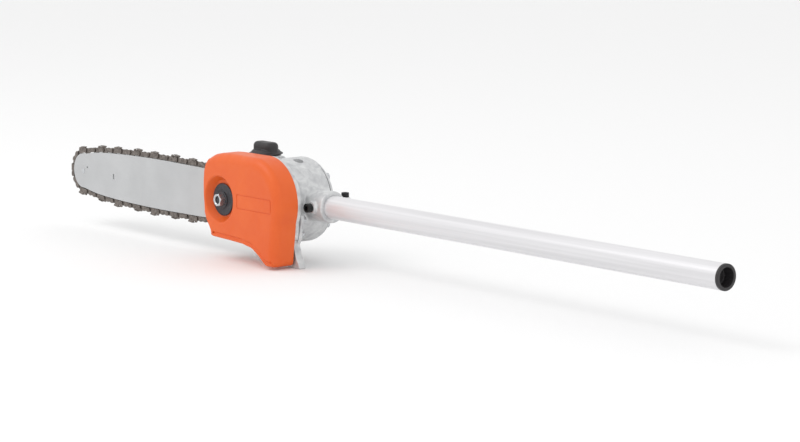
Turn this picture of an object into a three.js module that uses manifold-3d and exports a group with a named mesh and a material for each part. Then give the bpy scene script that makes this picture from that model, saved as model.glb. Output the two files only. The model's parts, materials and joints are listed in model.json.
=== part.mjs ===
// Pole saw attachment: a gear head with sprocket cover, guide bar, saw chain and
// limb hook, clamped on one plain tube that carries the drive shaft.
// Millimetres, +Z up, +X towards the tube's free end, -Y towards the sprocket cover.
// Everything is laid out about the sprocket axis (along Y) and the bar's middle
// plane (y = 0). The finished group is then moved so that its origin is the middle
// of the underside of its bounding box.
import * as THREE from 'three';
import initManifold from 'manifold-3d';

const wasm = await initManifold();
wasm.setup();
const { Manifold, CrossSection } = wasm;

// ---------------------------------------------------------------- driving sizes
const tubeOD = 25.4;
const tubeWall = 1.6;
const tubeReach = 651; // sprocket axis to the face of the tube's end cap
const shaftDepth = 38; // tube axis behind the bar's middle plane
const shaftOD = 7;

const barReach = 379; // sprocket axis to the tip of the bar's nose, before closing
const barHeight = 58; // across both rails at the widest point
const barThick = 4;
const barGroove = 1.6;
const barGrooveDepth = 6;
const noseRadius = 21;

const chainPitch = 9.525; // rivet to rivet; drive links stand two pitches apart
const chainGauge = 1.1;
const chainStrap = 1.4;
const rivetOverRail = 3.4;
const driveTeeth = 6;
const noseTeeth = 8;

const drumRadius = 47;
const drumBack = 58; // parting line between the housing and its lid
const chamberRadius = 27;
const lidDepth = 10;
const socketOD = 35;
const bearingRadius = 13;
const bearingWidth = 8;
const bearingStart = 27.6; // first pinion bearing, from the sprocket axis
const socketEnd = 75;

const coverFace = -25; // outer face of the sprocket cover
const coverBase = 3;
const coverWall = 2.6;
const coverEdge = 5;
const coverTop = 52.8;
const coverFront = -82;
const coverRearRadius = 50;
const footDepth = 64; // how far the cover's foot hangs below the sprocket axis

const studX = -52;
const studRadius = 4;
const nutAcrossFlats = 13;
const washerRadius = 18.25;
const pocketRadius = 26;

const capX = -31;
const capY = 26.5;
const capRadius = 19;
const neckTop = 48.4;

const gearModule = 2;
const pinionTeeth = 12;
const gearTeeth = 18;

const gap = 0.2; // between pieces that rest against each other
const running = 0.08; // radial play of a turning shaft

// ---------------------------------------------------------------- derived sizes
const tubeR = tubeOD / 2;
const tubeBore = tubeR - tubeWall;
const circlipStart = bearingStart + 2 * bearingWidth + 1; // behind the second bearing
const socketStart = circlipStart + 2.9;
const lidScrewOffset = (chamberRadius + drumRadius) / 2 * Math.SQRT1_2;
const lockSeat = shaftDepth - socketOD / 2 - 3.3; // under the lock screw's head
const clampScrewY = shaftDepth + socketOD / 2 + 3.5;
const driveRivetRadius = chainPitch / (2 * Math.sin(Math.PI / (2 * driveTeeth)));
const noseRivetRadius = chainPitch / (2 * Math.sin(Math.PI / (2 * noseTeeth)));
const railRadius = noseRivetRadius - rivetOverRail;
const padFace = barThick / 2 + 0.3;

// ---------------------------------------------------------------- materials
const paint = (name, colour, metalness, roughness) => {
  const material = new THREE.MeshStandardMaterial({ color: colour, metalness, roughness });
  material.name = name;
  return material;
};
const castAluminium = paint('cast_aluminium', 0xcfd0d0, 0.7, 0.55);
const tubeAluminium = paint('tube_aluminium', 0xeeeeec, 0.7, 0.4);
const orangePlastic = paint('orange_plastic', 0xe8622c, 0, 0.4);
const blackPlastic = paint('black_plastic', 0x262425, 0, 0.6);
const barSteel = paint('bar_steel', 0xcdcece, 0.8, 0.4);
const chainSteel = paint('chain_steel', 0x6f6864, 0.8, 0.4);
const darkSteel = paint('dark_steel', 0x45464a, 0.7, 0.5);
const zincSteel = paint('zinc_steel', 0xd4d6d8, 0.9, 0.25);
const gearSteel = paint('gear_steel', 0x8b8d90, 0.8, 0.4);
const blackScrew = paint('black_screw', 0x1f1f21, 0.5, 0.5);
const rubber = paint('rubber', 0x202020, 0, 0.8);
const clearHose = paint('clear_hose', 0xc9b98c, 0, 0.4);

// ---------------------------------------------------------------- shape helpers
const TAU = Math.PI * 2;
const rad = (degrees) => (degrees * Math.PI) / 180;
const shape = (points) => CrossSection.ofPolygons([points], 'EvenOdd');
const disc = (x, z, radius, sides = 24) => CrossSection.circle(radius, sides).translate([x, z]);
const box2 = (x0, x1, z0, z1) => shape([[x0, z0], [x1, z0], [x1, z1], [x0, z1]]);
const hexagon = (across, turn = 0) =>
  shape(Array.from({ length: 6 }, (_, i) => {
    const a = rad(60 * i + turn);
    return [(across / Math.sqrt(3)) * Math.cos(a), (across / Math.sqrt(3)) * Math.sin(a)];
  }));
// Rounds the outward corners of an outline, then its inward ones.
const roundCorners = (outline, outward, inward = outward, sides = 24) =>
  outline.offset(-outward, 'Round', 2, sides).offset(outward + inward, 'Round', 2, sides)
    .offset(-inward, 'Round', 2, sides);

// A slab with its outline in X and Z, from y0 to y1.
const slabY = (outline, y0, y1) =>
  outline.extrude(y1 - y0).translate([0, 0, -y1]).rotate([90, 0, 0]);
const slabX = (outline, x0, x1) => // outline in Y and Z
  outline.extrude(x1 - x0).rotate([90, 0, 90]).translate([x0, 0, 0]);
const slabZ = (outline, z0, z1) => outline.extrude(z1 - z0).translate([0, 0, z0]);
const rodY = (x, z, radius, y0, y1, sides = 24) => slabY(disc(x, z, radius, sides), y0, y1);
const rodX = (y, z, radius, x0, x1, sides = 24) => slabX(disc(y, z, radius, sides), x0, x1);
const rodZ = (x, y, radius, z0, z1, sides = 24) => slabZ(disc(x, y, radius, sides), z0, z1);
const boxAt = (x0, x1, y0, y1, z0, z1) =>
  Manifold.cube([x1 - x0, y1 - y0, z1 - z0]).translate([x0, y0, z0]);
// Turned shapes: the profile lists [radius, position along the axis].
const turnY = (profile, x, z, sides = 24) =>
  shape(profile).revolve(sides).rotate([-90, 0, 0]).translate([x, 0, z]);
const turnX = (profile, y, z, sides = 24) =>
  shape(profile).revolve(sides).rotate([0, 90, 0]).translate([0, y, z]);
const turnZ = (profile, x, y, sides = 24) => shape(profile).revolve(sides).translate([x, y, 0]);
const ringProfile = (inner, outer, from, to) => [[inner, from], [outer, from], [outer, to], [inner, to]];

// A closed solid skinned over rings of points that all have the same count.
function skin(rings, capOutline) {
  const count = rings[0].length;
  const positions = new Float32Array(rings.flat(2));
  const triangles = [];
  for (let r = 0; r + 1 < rings.length; r++) {
    for (let i = 0; i < count; i++) {
      const j = (i + 1) % count;
      const a = r * count + i, b = r * count + j, c = a + count, d = b + count;
      triangles.push(a, b, c, b, d, c);
    }
  }
  const top = (rings.length - 1) * count;
  for (const [i, j, k] of THREE.ShapeUtils.triangulateShape(capOutline, [])) {
    triangles.push(i, k, j, top + i, top + j, top + k);
  }
  let solid = new Manifold(new wasm.Mesh({
    numProp: 3, vertProperties: positions, triVerts: new Uint32Array(triangles),
  }));
  if (solid.volume() < 0) {
    for (let i = 0; i < triangles.length; i += 3) {
      [triangles[i], triangles[i + 1]] = [triangles[i + 1], triangles[i]];
    }
    solid = new Manifold(new wasm.Mesh({
      numProp: 3, vertProperties: positions, triVerts: new Uint32Array(triangles),
    }));
  }
  return solid;
}

// A slab from y0 to y1 whose edge is rounded at y0 (the face).
function roundedSlabY(outline, y0, y1, radius, steps = 3) {
  const points = outline.simplify(0.05).toPolygons()[0].map(([x, z]) => new THREE.Vector2(x, z));
  const count = points.length;
  const clockwise = THREE.ShapeUtils.isClockWise(points);
  const inward = points.map((p, i) => {
    const before = points[(i + count - 1) % count], after = points[(i + 1) % count];
    const a = p.clone().sub(before).normalize(), b = after.clone().sub(p).normalize();
    const n = new THREE.Vector2(-(a.y + b.y), a.x + b.x).normalize();
    return n.multiplyScalar((clockwise ? -1 : 1) / Math.max(0.5, n.x * -a.y + n.y * a.x));
  });
  const rings = [];
  for (let s = 0; s <= steps; s++) {
    const t = rad((90 * s) / steps);
    rings.push(points.map((p, i) => [
      p.x + inward[i].x * radius * (1 - Math.sin(t)),
      y0 + (y1 > y0 ? 1 : -1) * radius * (1 - Math.cos(t)),
      p.y + inward[i].y * radius * (1 - Math.sin(t)),
    ]));
  }
  rings.push(points.map((p) => [p.x, y1, p.y]));
  return skin(rings, points);
}

// A socket-head screw along its own +Z, the underside of its head at z = 0.
function socketScrew(radius, headRadius, headHeight, length) {
  return Manifold.cylinder(headHeight, headRadius, headRadius, 12)
    .add(Manifold.cylinder(length + 0.1, radius, radius, 12).translate([0, 0, -length]))
    .subtract(hexagon(headRadius * 0.95).extrude(headHeight).translate([0, 0, headHeight * 0.45]));
}
const towardMinusY = [90, 0, 0];
const towardPlusY = [-90, 0, 0];

const group = new THREE.Group();
group.name = 'pole_saw_attachment';
function piece(name, solid, material) {
  const data = solid.getMesh();
  const geometry = new THREE.BufferGeometry();
  geometry.setAttribute('position', new THREE.BufferAttribute(new Float32Array(data.vertProperties), 3));
  geometry.setIndex(new THREE.BufferAttribute(new Uint32Array(data.triVerts), 1));
  geometry.computeVertexNormals();
  const mesh = new THREE.Mesh(geometry, material);
  mesh.name = name;
  group.add(mesh);
}

// ---------------------------------------------------------------- cover outline
// Seen from the cover's side: a long body, a round back about the sprocket and a
// foot that hangs behind the cutting zone.
const coverOutline = roundCorners(
  shape([
    [coverFront, 2], [coverFront, 20], [coverFront + 1.5, 32], [coverFront + 5, 40], [coverFront + 11, coverTop - 6.8],
    [coverFront + 19, coverTop - 3], [coverFront + 30, coverTop - 0.8], [coverFront + 44, coverTop], [12, coverTop],
    [40, 30], [54, -20], [50.5, -45], [48.5, -footDepth], [34, -footDepth], [23, -55.5], [11, -48.5],
    [-2, -45], [-35, -43.6], [-67, -42.6], [-68.5, -34], [-75, -25.5], [-80, -14],
  ]).add(disc(8, 3, coverRearRadius, 60)),
  4.2, 6, 20,
).simplify(0.08);

// ---------------------------------------------------------------- bar and chain path
// Half the bar's outline, from its tail to the start of the nose arc: the share of
// the way to the nose centre, and the share of half the bar's height.
const railStations = [
  [0, 0.3], [0.05, 0.66], [0.108, 0.842], [0.168, 0.93], [0.266, 0.966], [0.386, 0.986],
  [0.512, 1], [0.635, 0.99], [0.763, 0.952], [0.862, 0.897], [0.934, 0.822],
];
const barTail = -24;

function barOutline(noseCentre) {
  const half = barHeight / 2;
  const curve = new THREE.CatmullRomCurve3([
    ...railStations.map(([t, h]) => new THREE.Vector3(barTail + t * (noseCentre - barTail), 0, h * half)),
    new THREE.Vector3(noseCentre + railRadius * Math.sin(rad(9)), 0, railRadius * Math.cos(rad(9))),
  ], false, 'centripetal');
  const upper = curve.getPoints(28).map((p) => [p.x, p.z]);
  for (let a = 105; a <= 180; a += 7.5) {
    upper.push([noseCentre + railRadius * Math.cos(rad(a)), railRadius * Math.sin(rad(a))]);
  }
  const lower = upper.slice(0, -1).reverse().map(([x, z]) => [x, -z]);
  return shape([...upper, ...lower]);
}

// The rivets' closed line: over the bar's rails and round the drive sprocket.
function rivetLine(noseCentre) {
  const loop = CrossSection.hull([
    barOutline(noseCentre).offset(rivetOverRail, 'Round', 2, 128),
    disc(0, 0, driveRivetRadius, 240),
  ]).toPolygons()[0];
  const start = loop.reduce((best, p, i) => (
    Math.abs(Math.atan2(p[1], p[0])) < Math.abs(Math.atan2(loop[best][1], loop[best][0])) ? i : best), 0);
  return [...loop.slice(start), ...loop.slice(0, start)];
}

// Steps along the line in straight pitches, from the top of the sprocket's rearmost
// link to the nose. Returns the rivets of the upper half.
function upperRivets(line, count) {
  const first = Math.PI / (2 * driveTeeth);
  const rivets = [[driveRivetRadius * Math.cos(first), driveRivetRadius * Math.sin(first)]];
  let i = line.findIndex(([x, z]) => z > 0 && Math.atan2(z, x) > first);
  while (rivets.length < count) {
    const [x, z] = rivets[rivets.length - 1];
    while (Math.hypot(line[i][0] - x, line[i][1] - z) < chainPitch) i = (i + 1) % line.length;
    const from = line[(i + line.length - 1) % line.length], to = line[i];
    const run = [to[0] - from[0], to[1] - from[1]];
    const passed = ((x - from[0]) * run[0] + (z - from[1]) * run[1]) / (run[0] ** 2 + run[1] ** 2);
    let low = Math.max(0, Math.min(1, passed)), high = 1;
    for (let k = 0; k < 40; k++) {
      const t = (low + high) / 2;
      if (Math.hypot(from[0] + run[0] * t - x, from[1] + run[1] * t - z) < chainPitch) low = t; else high = t;
    }
    rivets.push([from[0] + run[0] * low, from[1] + run[1] * low]);
  }
  return rivets;
}

// The bar is made to the length that a whole number of drive links closes round.
const loopLength = (line) => line.reduce((sum, p, i) => {
  const q = line[(i + 1) % line.length];
  return sum + Math.hypot(p[0] - q[0], p[1] - q[1]);
}, 0);
const nominalNose = -(barReach - railRadius);
const driveLinks = Math.round(loopLength(rivetLine(nominalNose)) / (2 * chainPitch));
let noseNear = nominalNose + 14, noseFar = nominalNose - 14;
for (let k = 0; k < 30; k++) {
  const middle = (noseNear + noseFar) / 2;
  const rivets = upperRivets(rivetLine(middle), driveLinks);
  if (rivets[driveLinks - 1][0] > middle || rivets[driveLinks - 1][1] > chainPitch / 2) noseFar = middle;
  else noseNear = middle;
}
const noseX = (noseNear + noseFar) / 2;
const upper = upperRivets(rivetLine(noseX), driveLinks);
const rivets = [...upper, ...upper.slice().reverse().map(([x, z]) => [x, -z])];
const tipHasDriveLink = driveLinks % 2 === 0;

// ---------------------------------------------------------------- gear housing
const flangeOutline = coverOutline.offset(-1, 'Round', 2, 20).simplify(0.06).intersect(box2(-90, 80, -36, 60));
const flangeInner = coverOutline.offset(-4.2, 'Round', 2, 12).simplify(0.1).intersect(box2(-90, 80, -33, 60));
const around = (offset) => [[1, 1], [-1, 1], [-1, -1], [1, -1]].map(([x, z]) => [x * offset, z * offset]);
const lidScrews = around(lidScrewOffset);
const tankScrews = [[-70, neckTop - 8.2], [-70, -23]];
const hookScrews = [[50.2, -14], [46.4, -30.5]];
const pad = roundCorners(shape([[-76, -26], [-20, -18], [-20, 18], [-76, 26]]), 4);
const plugX = 13, plugFloor = 38; // grease hole, let into the drum's side
{
  const chamberFloor = 19;
  let housing = slabY(flangeOutline, 5, 9)
    .add(slabY(flangeOutline.subtract(flangeInner), coverBase + gap, 5.1))
    .subtract(boxAt(-95, -64, 2, 5, -40, 42))
    .add(slabY(pad, padFace, 12))
    .add(turnY([[0, 5], [drumRadius, 5], [drumRadius, drumBack],
      [0, drumBack]], 0, 0, 36))
    .add(turnX([[0, 20], [socketOD / 2 + 1.8, 36], [socketOD / 2, 52], [socketOD / 2, socketEnd - 1.5],
      [socketOD / 2 - 1, socketEnd], [0, socketEnd]], shaftDepth, 0, 24))
    .add(boxAt(63, socketEnd - 0.5, clampScrewY - 9, clampScrewY + 4.5, -9, 9))
    .add(rodY(61, 0, 7, lockSeat + gap, lockSeat + 12.8, 18));
  housing = housing
    .subtract(rodY(0, 0, chamberRadius, chamberFloor, drumBack + 1, 28)) // gear chamber
    .subtract(rodY(0, 0, bearingRadius + 0.05, 10.5, chamberFloor + 1, 24)) // front bearing seat
    .subtract(rodY(0, 0, 11, 2, 11, 20)) // seal bore
    .subtract(rodX(shaftDepth, 0, bearingRadius + 0.05, 20, socketStart, 24)) // pinion bearings
    .subtract(rodX(shaftDepth, 0, bearingRadius + 1, circlipStart, circlipStart + 1.8, 24)) // circlip groove
    .subtract(rodX(shaftDepth, 0, tubeR + 0.1, socketStart - 0.5, socketEnd + 1, 32)) // tube
    .subtract(boxAt(57, socketEnd + 5, shaftDepth + 10, clampScrewY + 10, -0.8, 0.8)) // clamp slit
    .subtract(rodZ(69, clampScrewY, 2.7, -10, 10, 12)) // clamp screw
    .subtract(rodY(61, 0, 3.1, lockSeat - 2, shaftDepth, 12)) // lock screw
    .subtract(rodZ(plugX, shaftDepth, 4.1, 20, plugFloor + 1, 12))
    .subtract(rodZ(plugX, shaftDepth, 5.5, plugFloor, drumRadius + 4, 18))
    .subtract(rodY(studX, 0, studRadius + 0.1, 2, 12.5, 12)) // bar stud
    .subtract(rodY(studX, 0, 6.2, 2, 5.2, 12))
    .subtract(boxAt(-62, -32, 2, 11, 10.4, 20.4)) // tensioner channel
    .subtract(rodX(7.4, 15.4, 2.7, -80, -60, 12))
    .subtract(rodX(7.4, 15.4, 4.2, -90, -76, 12))
    .subtract(rodZ(capX, capY, capRadius + 0.5, neckTop - 0.5, neckTop + 20, 24)) // room under the oil cap
    .subtract(rodX(7.2, -17, 4.8, -42, -14, 12)) // oil pump pocket
    .subtract(boxAt(-42, -14, 2, 7.2, -21.8, -12.2));
  for (const [x, z] of lidScrews) {
    housing = housing.subtract(rodY(x, z, 2.7, drumBack - 14, drumBack + 1, 12));
  }
  for (const [x, z] of [...hookScrews, ...tankScrews]) {
    housing = housing.subtract(rodY(x, z, 2.3, 1, 13, 12));
  }
  piece('gear_housing', housing, castAluminium);
}

// ---------------------------------------------------------------- lid
const lidBearing = drumBack - 5.9; // where the rear bearing starts
piece('lid_gasket', slabY(
  lidScrews.reduce(
    (ring, [x, z]) => ring.subtract(disc(x, z, 2.8, 12)),
    disc(0, 0, drumRadius - 1.6, 36).subtract(disc(0, 0, chamberRadius + 1, 28)),
  ),
  drumBack + 0.05, drumBack + 1.2,
), rubber);
{
  const face = drumBack + 1.3;
  const screwSeat = face + 4.2, tip = face - 13.3;
  const seat = bearingRadius + 0.05, hub = seat + 4.45;
  let lid = turnY([
    [0, face + lidDepth], [drumRadius - 16, face + lidDepth - 0.4], [drumRadius - 6, face + lidDepth - 4.5],
    [drumRadius - 1.5, face], [hub, face], [hub, lidBearing - 0.3], [seat, lidBearing - 0.3],
    [seat, lidBearing + bearingWidth + 0.3], [0, lidBearing + bearingWidth + 0.3],
  ], 0, 0, 36);
  lidScrews.forEach(([x, z], i) => {
    lid = lid.subtract(rodY(x, z, 2.7, face - 1, face + 16, 12)).subtract(rodY(x, z, 4.8, screwSeat - 0.2, face + 16, 12));
    piece(`lid_screw_${i + 1}`, socketScrew(2.5, 4.4, 5, screwSeat - tip).rotate(towardPlusY)
      .translate([x, screwSeat, z]), zincSteel);
  });
  piece('housing_lid', lid, castAluminium);
}

// ---------------------------------------------------------------- oil tank
const tankFront = 12.3, tankBack = 50, tankTop = neckTop - 2.2;
{
  const outline = roundCorners(box2(-76, -7, -29.6, tankTop).subtract(disc(0, 0, drumRadius + 0.4, 36)), 3, 2, 12)
    .simplify(0.08);
  const inside = outline.offset(-2.8, 'Round', 2, 12);
  let tank = slabY(outline, tankFront, tankBack)
    .subtract(slabY(inside, tankFront + 2.6, tankBack - 2.6));
  for (const [x, z] of tankScrews) { // solid from the screw out to the corner
    const corner = CrossSection.hull([disc(x, z, 6, 12), disc(x - 10, z + Math.sign(z) * 10, 6, 12)]);
    tank = tank.add(slabY(corner.intersect(outline), tankFront + 1, tankBack - 1));
  }
  tank = tank
    .add(rodZ(capX, capY, capRadius - 2, tankTop - 1, neckTop, 28))
    .add(rodZ(capX, capY, 14, neckTop - 6, tankTop - 1, 20).intersect(slabY(outline, tankFront, tankBack)))
    .subtract(rodZ(capX, capY, 11.5, neckTop - 12, neckTop + 1, 24));
  tank = tank.subtract(slabY(disc(0, 0, drumRadius + 0.4, 36), tankFront - 1, tankBack + 1));
  for (const [x, z] of tankScrews) tank = tank.subtract(rodY(x, z, 2.7, 10, 55, 12));
  piece('oil_tank', tank, castAluminium);
  tankScrews.forEach(([x, z], i) => piece(`tank_screw_${i + 1}`,
    socketScrew(2.1, 4.3, 4.5, tankBack - 4).rotate(towardPlusY)
      .translate([x, tankBack + 0.1, z]), zincSteel));
  piece('oil_filter', turnY([[0, 22], [5, 22], [6.5, 24], [6.5, 36], [5, 38], [0, 38]], -60, -10, 12), rubber);
  piece('oil_hose', rodY(-60, -10, 2.6, tankFront + 2.8, 21.9, 12), clearHose);
}
piece('oil_pump', rodX(7.2, -17, 4.6, -41.8, -14.2, 12), darkSteel);

// ---------------------------------------------------------------- oil cap
piece('oil_cap_seal', turnZ(ringProfile(11.8, 15.8, neckTop + 0.05, neckTop + 1.05), capX, capY, 20), rubber);
{
  const underside = neckTop + 1.15, flangeTop = underside + 2.9, gripTop = flangeTop + 10.6;
  const grip = roundCorners(box2(capX - 14.2, capX + 14.2, capY - 6.4, capY + 6.4), 5.5);
  piece('oil_cap', turnZ([[0, neckTop - 5], [10.6, neckTop - 5], [11.3, neckTop - 4], [11.3, underside], [capRadius - 0.4, underside],
    [capRadius, underside + 0.6], [capRadius, flangeTop - 1], [capRadius - 1.4, flangeTop], [0, flangeTop]],
  capX, capY, 28)
    .add(slabZ(grip, flangeTop - 0.2, gripTop - 1.6))
    .add(slabZ(grip.offset(-1.4, 'Round', 2, 12), gripTop - 1.7, gripTop)), blackPlastic);
}

// ---------------------------------------------------------------- limb hook
const hookBack = 14;
{
  const footTop = -36.4, footLow = -footDepth - 3;
  const plate = roundCorners(shape([
    [54, footTop], [48, -28.4], [46, -41], [50, -54], [57.8, footLow], [35, footLow], [34, -64.5], [27, -58.5],
    [24, -51], [26, footTop],
  ]).intersect(box2(-90, 90, footLow, footTop)), 0.8, 3).subtract(disc(0, 0, drumRadius + 0.4, 36));
  const lug = roundCorners(shape([[36, -44], [46, -42], [50.5, -34], [55, -16], [55.4, -7], [44, -7]]), 2)
    .subtract(disc(0, 0, drumRadius + 0.4, 36));
  const holes = Manifold.union(hookScrews.map(([x, z]) => rodY(x, z, 2.6, 4, hookBack + 1, 12)));
  piece('limb_hook', slabY(plate, 5.3, hookBack).add(slabY(lug, 9.3, hookBack)).subtract(holes), castAluminium);
  hookScrews.forEach(([x, z], i) => piece(`hook_screw_${i + 1}`,
    socketScrew(2.1, 3.4, 4, 8).rotate(towardPlusY).translate([x, hookBack + 0.1, z]), zincSteel));
}

// ---------------------------------------------------------------- tube and its fittings
const tubeEnd = tubeReach - 3;
piece('tube', turnX(ringProfile(tubeBore, tubeR, socketStart + 0.4, tubeEnd), shaftDepth, 0, 32), tubeAluminium);
piece('tube_end_cap', turnX([[0, tubeEnd - 12], [tubeBore - 0.25, tubeEnd - 12], [tubeBore - 0.1, tubeEnd - 10],
  [tubeBore - 0.1, tubeEnd + 0.05], [tubeR, tubeEnd + 0.05], [tubeR, tubeReach - 0.6], [tubeR - 0.6, tubeReach],
  [tubeBore - 1.7, tubeReach], [tubeBore - 1.7, tubeEnd - 9], [0, tubeEnd - 9]], shaftDepth, 0, 24), blackPlastic);
piece('lock_screw', socketScrew(2.9, 5, 6, shaftDepth - tubeR - gap - lockSeat).rotate(towardMinusY)
  .translate([61, lockSeat, 0]), blackScrew);
piece('clamp_screw', socketScrew(2.45, 4.25, 4.8, 17.8).translate([69, clampScrewY, 9.15]), blackScrew);
{
  const bushSpan = tubeEnd - 20 - 90;
  [0, 0.5, 1].forEach((t, i) => {
    const x = 90 + 20 + t * (bushSpan - 60);
    piece(`tube_bush_${i + 1}`, turnX([[shaftOD / 2 + running, x], [7, x], [tubeBore - 0.15, x + 4],
      [tubeBore - 0.15, x + 20], [shaftOD / 2 + running, x + 20]], shaftDepth, 0, 18), rubber);
  });
}
piece('grease_plug', rodZ(plugX, shaftDepth, 3.9, plugFloor - 8, plugFloor + 0.4, 12)
  .add(rodZ(plugX, shaftDepth, 5.2, plugFloor + 0.3, plugFloor + 3, 20))
  .subtract(slabZ(hexagon(5).translate([plugX, shaftDepth]), plugFloor + 0.8, plugFloor + 4)), darkSteel);

// ---------------------------------------------------------------- bevel gears
// Teeth taper to the apex at the origin. The gear's axis is +Z with its back below.
function bevelGear(teeth, mateTeeth, turn) {
  const radius = (gearModule * teeth) / 2, depth = (gearModule * mateTeeth) / 2;
  const cone = Math.hypot(radius, depth), inner = 0.62;
  const over = gearModule * 0.8, under = gearModule * 1.15;
  const at = (height, share) => [(radius + (height * depth) / cone) * share, (-depth + (height * radius) / cone) * share];
  const halfPitch = Math.PI / (2 * teeth);
  const widths = [[-under, 1.35], [0, 0.8], [over, 0.36]];
  const body = shape([[0, -depth - 5.2], [radius - 4.4, -depth - 5.2], at(-under - 1.6, 1), at(-under, 1),
    at(-under, inner), [0, at(-under, inner)[1]]]).revolve(teeth)
    .rotate([0, 0, 180 / teeth + (turn * 180) / Math.PI]);
  const solids = [body];
  for (let i = 0; i < teeth; i++) {
    const middle = (TAU * i) / teeth + turn;
    const points = [];
    for (const share of [1, inner]) {
      for (const [height, width] of widths) {
        const [r, z] = at(height === -under ? height - 0.5 : height, share);
        for (const side of [-1, 1]) {
          const a = middle + side * halfPitch * width;
          points.push([r * Math.cos(a), r * Math.sin(a), z]);
        }
      }
    }
    solids.push(Manifold.hull(points));
  }
  return Manifold.union(solids);
}
const toMinusX = [0, -90, 0];
{
  const pinionBack = (gearModule * gearTeeth) / 2 + 5.2;
  piece('bevel_pinion', bevelGear(pinionTeeth, gearTeeth, Math.PI / pinionTeeth).rotate(toMinusX)
    .translate([0, shaftDepth, 0])
    .add(rodX(shaftDepth, 0, 5, pinionBack - 0.5, 56, 18))
    .subtract(rodX(shaftDepth, 0, shaftOD / 2 + 0.1, 34, 60, 12)), gearSteel);
  piece('drive_shaft', rodX(shaftDepth, 0, shaftOD / 2, 34.4, tubeEnd - 26, 12)
    .add(slabX(shape([[-2.3, -2.3], [2.3, -2.3], [2.3, 2.3], [-2.3, 2.3]]).translate([shaftDepth, 0]),
      tubeEnd - 27, tubeEnd - 14)), gearSteel);
  const bearing = (from) => turnX(ringProfile(5 + running, bearingRadius, from, from + bearingWidth), shaftDepth, 0);
  piece('pinion_bearing_1', bearing(bearingStart), zincSteel);
  piece('pinion_bearing_2', bearing(bearingStart + bearingWidth + 0.6), zincSteel);
  piece('pinion_circlip', slabX(disc(0, 0, bearingRadius + 0.8, 20).subtract(disc(0, 0, 11, 20))
    .subtract(box2(-2.5, 2.5, -20, -5)).translate([shaftDepth, 0]), circlipStart + 0.2, circlipStart + 1.6), darkSteel);
}

// ---------------------------------------------------------------- output shaft
const shaftNose = -12.5;
piece('output_shaft', rodY(0, 0, 5, shaftNose, 60.2, 18)
  .subtract(turnY(ringProfile(4.1, 6, -8.6, -7.4), 0, 0, 18)), gearSteel);
piece('bevel_gear', bevelGear(gearTeeth, pinionTeeth, 0).rotate(towardPlusY).translate([0, shaftDepth, 0])
  .subtract(rodY(0, 0, 5.06, 10, 60, 18)), gearSteel);
{
  const bearing = (from) => turnY(ringProfile(5 + running, bearingRadius, from, from + bearingWidth), 0, 0);
  piece('output_bearing_front', bearing(10.7), zincSteel);
  piece('output_bearing_rear', bearing(lidBearing), zincSteel);
}
piece('output_seal', turnY(ringProfile(5 + running, 10.9, 5.6, 10.3), 0, 0, 20), rubber);
{
  const pitchAngle = TAU / driveTeeth;
  const star = [];
  const tip = driveRivetRadius * Math.cos(pitchAngle / 4) - 3.5, floor = tip - 4.45;
  for (let i = 0; i < driveTeeth; i++) {
    const a = i * pitchAngle;
    for (const [r, t] of [[floor, -13], [floor, 13], [tip - 0.9, 21.5], [tip, 24.5], [tip, 35.5], [tip - 0.9, 38.5]]) {
      star.push([r * Math.cos(a + rad(t)), r * Math.sin(a + rad(t))]);
    }
  }
  piece('drive_sprocket', slabY(shape(star), -3.2, 3.2).add(rodY(0, 0, 8, 3.1, 5.2, 18))
    .subtract(rodY(0, 0, 5.06, -5, 6, 18)), darkSteel);
  piece('sprocket_washer', turnY(ringProfile(5.1, 11, -4.6, -3.4), 0, 0, 20), zincSteel);
  piece('sprocket_collar', turnY(ringProfile(5.1, 8, -7.2, -4.8), 0, 0, 18), darkSteel);
  piece('shaft_clip', slabY(disc(0, 0, 7.4, 18).subtract(disc(0, 0, 4.2, 18)).subtract(box2(-2.6, 2.6, -10, -2)),
    -8.5, -7.5), zincSteel);
}

// ---------------------------------------------------------------- guide bar
{
  const outline = barOutline(noseX).simplify(0.04);
  const half = barThick / 2;
  const core = outline.offset(-barGrooveDepth, 'Round', 2, 32).subtract(disc(noseX, 0, noseRivetRadius + 0.6, 32));
  const holes = CrossSection.hull([disc(studX + 24, 0, studRadius + 0.25, 12), disc(studX - 20, 0, studRadius + 0.25, 12)])
    .add(disc(-44, 15.4, 2.7, 12)).add(disc(-44, -15.4, 2.7, 12)).add(disc(-66, 20.5, 1.6, 12)).add(disc(-66, -20.5, 1.6, 12));
  const bar = slabY(outline, -half, half)
    .subtract(slabY(outline.offset(1, 'Round', 2, 32).subtract(core), -barGroove / 2, barGroove / 2))
    .add(slabY(disc(noseX, 0, 5, 18), -barGroove / 2 - 0.2, barGroove / 2 + 0.2))
    .subtract(slabY(holes, -3, 3))
    .subtract(rodY(noseX, 0, 2.5, -3, 3, 12));
  piece('guide_bar', bar, barSteel);
  piece('nose_rivet', rodY(noseX, 0, 2.45, -half - 0.1, half + 0.1, 12)
    .add(rodY(noseX, 0, 3.6, -half - 0.35, -half - 0.05, 12)).add(rodY(noseX, 0, 3.6, half + 0.05, half + 0.35, 12)), zincSteel);
  const pitchAngle = 360 / noseTeeth;
  const star = [];
  const floor = noseRivetRadius * Math.cos(rad(pitchAngle / 4)) - 8.05, tip = railRadius - 0.9;
  for (let i = 0; i < noseTeeth; i++) {
    const a = 180 + (i + (tipHasDriveLink ? 0 : 0.5)) * pitchAngle;
    for (const [r, t] of [[floor, -0.28], [floor, 0.28], [tip - 0.6, 0.385], [tip, 0.42], [tip, 0.58], [tip - 0.6, 0.615]]) {
      star.push([noseX + r * Math.cos(rad(a + t * pitchAngle)), r * Math.sin(rad(a + t * pitchAngle))]);
    }
  }
  piece('nose_sprocket', slabY(shape(star).subtract(disc(noseX, 0, 5.15, 20)), -0.5, 0.5), darkSteel);
}

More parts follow.
